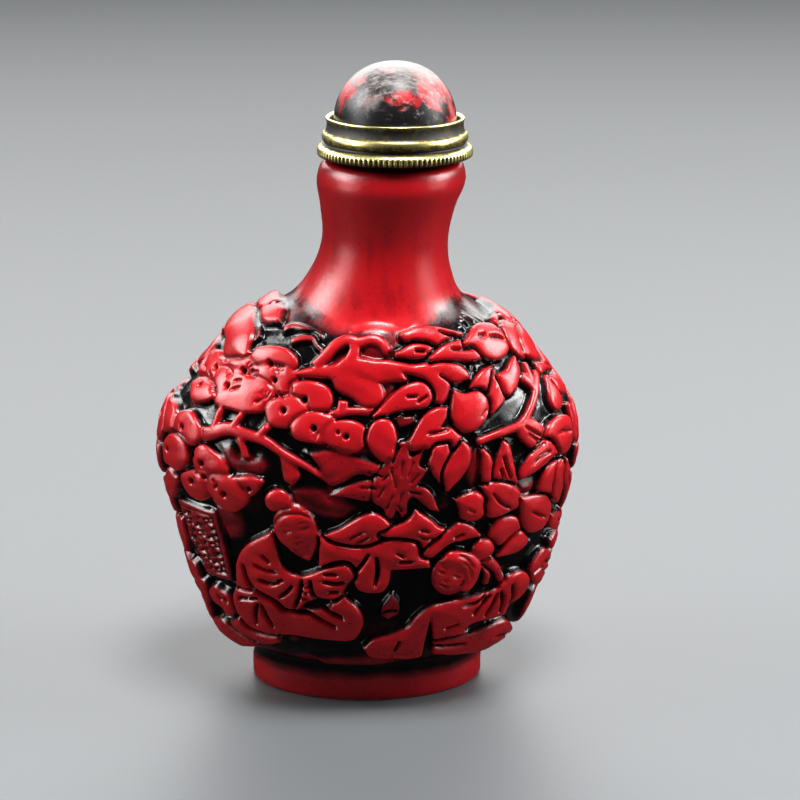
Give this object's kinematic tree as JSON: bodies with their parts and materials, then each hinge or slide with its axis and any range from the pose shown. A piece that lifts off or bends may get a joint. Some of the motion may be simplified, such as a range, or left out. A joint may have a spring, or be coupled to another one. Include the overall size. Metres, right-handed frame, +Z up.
{
  "type": "snuff bottle",
  "caption": "Flattened carved snuff bottle on an oval foot, hollow, with a plain flared neck and a domed metal-collared stopper.",
  "frame": {"origin": "middle of the flat oval foot's underside", "axes": "+Z up through the neck, -Y out of the side with the seated scholar, +X to that side's right"},
  "size_m": [0.0501, 0.032, 0.076],
  "materials": {
    "red_resin": "satin red raised faces over glossy near-black recesses, wiped patina",
    "brass": "aged, bright on the raised edges and dark in the hollows",
    "mottled_resin": "satin black and red mottling with light scuffs",
    "cork": "matt natural cork"
  },
  "bodies": {
    "root": {"bottle": "red_resin", "stopper_collar": "brass", "stopper_dome": "mottled_resin", "stopper_cork": "cork"}
  },
  "joints": []
}
